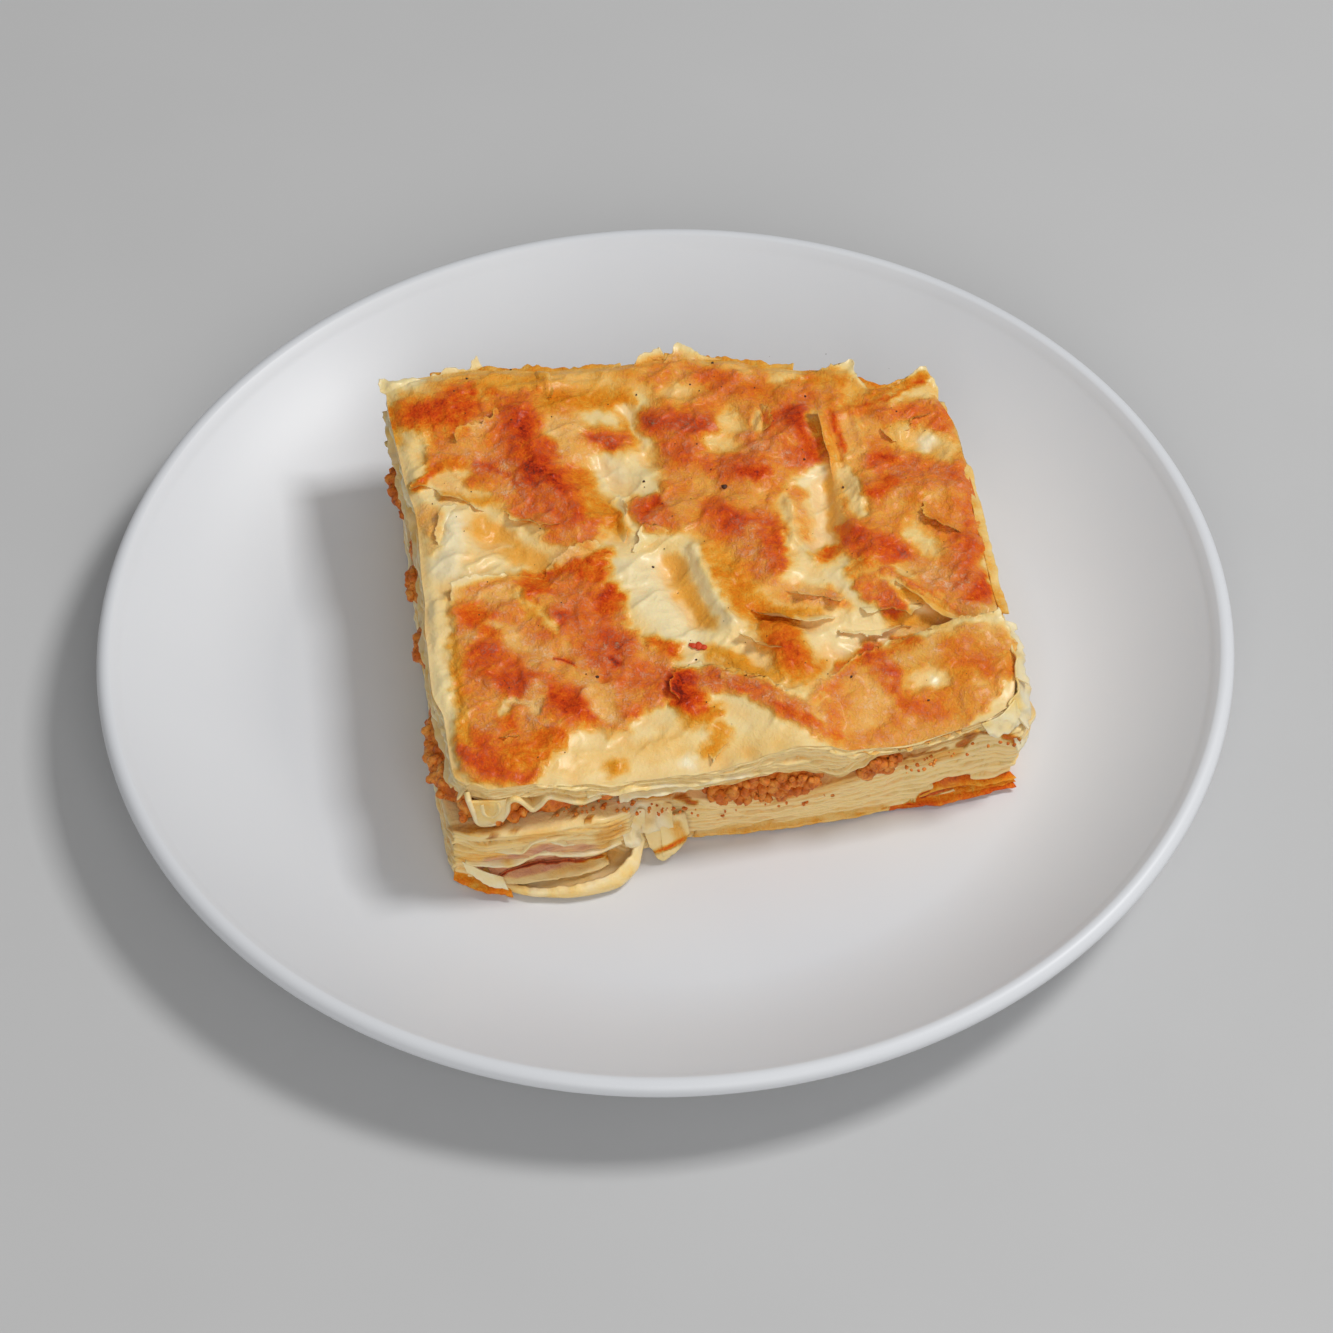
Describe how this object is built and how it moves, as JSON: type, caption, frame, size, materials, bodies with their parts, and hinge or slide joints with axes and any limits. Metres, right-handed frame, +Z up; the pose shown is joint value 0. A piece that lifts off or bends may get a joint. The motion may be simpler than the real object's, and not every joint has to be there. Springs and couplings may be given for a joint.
{
  "type": "slice of meat su borek on a plate",
  "caption": "Square slice of layered boiled-sheet pastry with a minced meat layer and a blistered, flaky browned crust, lying on a round white coupe plate with a rounded lip.",
  "frame": {"origin": "middle of the plate's underside, on the plane that its foot ring stands on", "axes": "+Z up out of the plate; +Y away from the side where the slice's cut shows best; +X to the right seen from that side"},
  "size_m": [0.2198, 0.2198, 0.0353],
  "materials": {
    "plate_glaze": "white glazed porcelain, glossy and plain",
    "pastry_sheets": "boiled and baked dough sheets, cream, moist satin, slightly translucent",
    "minced_meat": "cooked minced meat, brown, crumbly, moist",
    "browned_crust": "buttered pastry crust, from pale cream through golden to red-brown blisters, satin gloss"
  },
  "bodies": {
    "root": {"plate": "plate_glaze", "pastry_bottom": "pastry_sheets", "meat_filling": "minced_meat", "pastry_top": "browned_crust"}
  },
  "joints": []
}
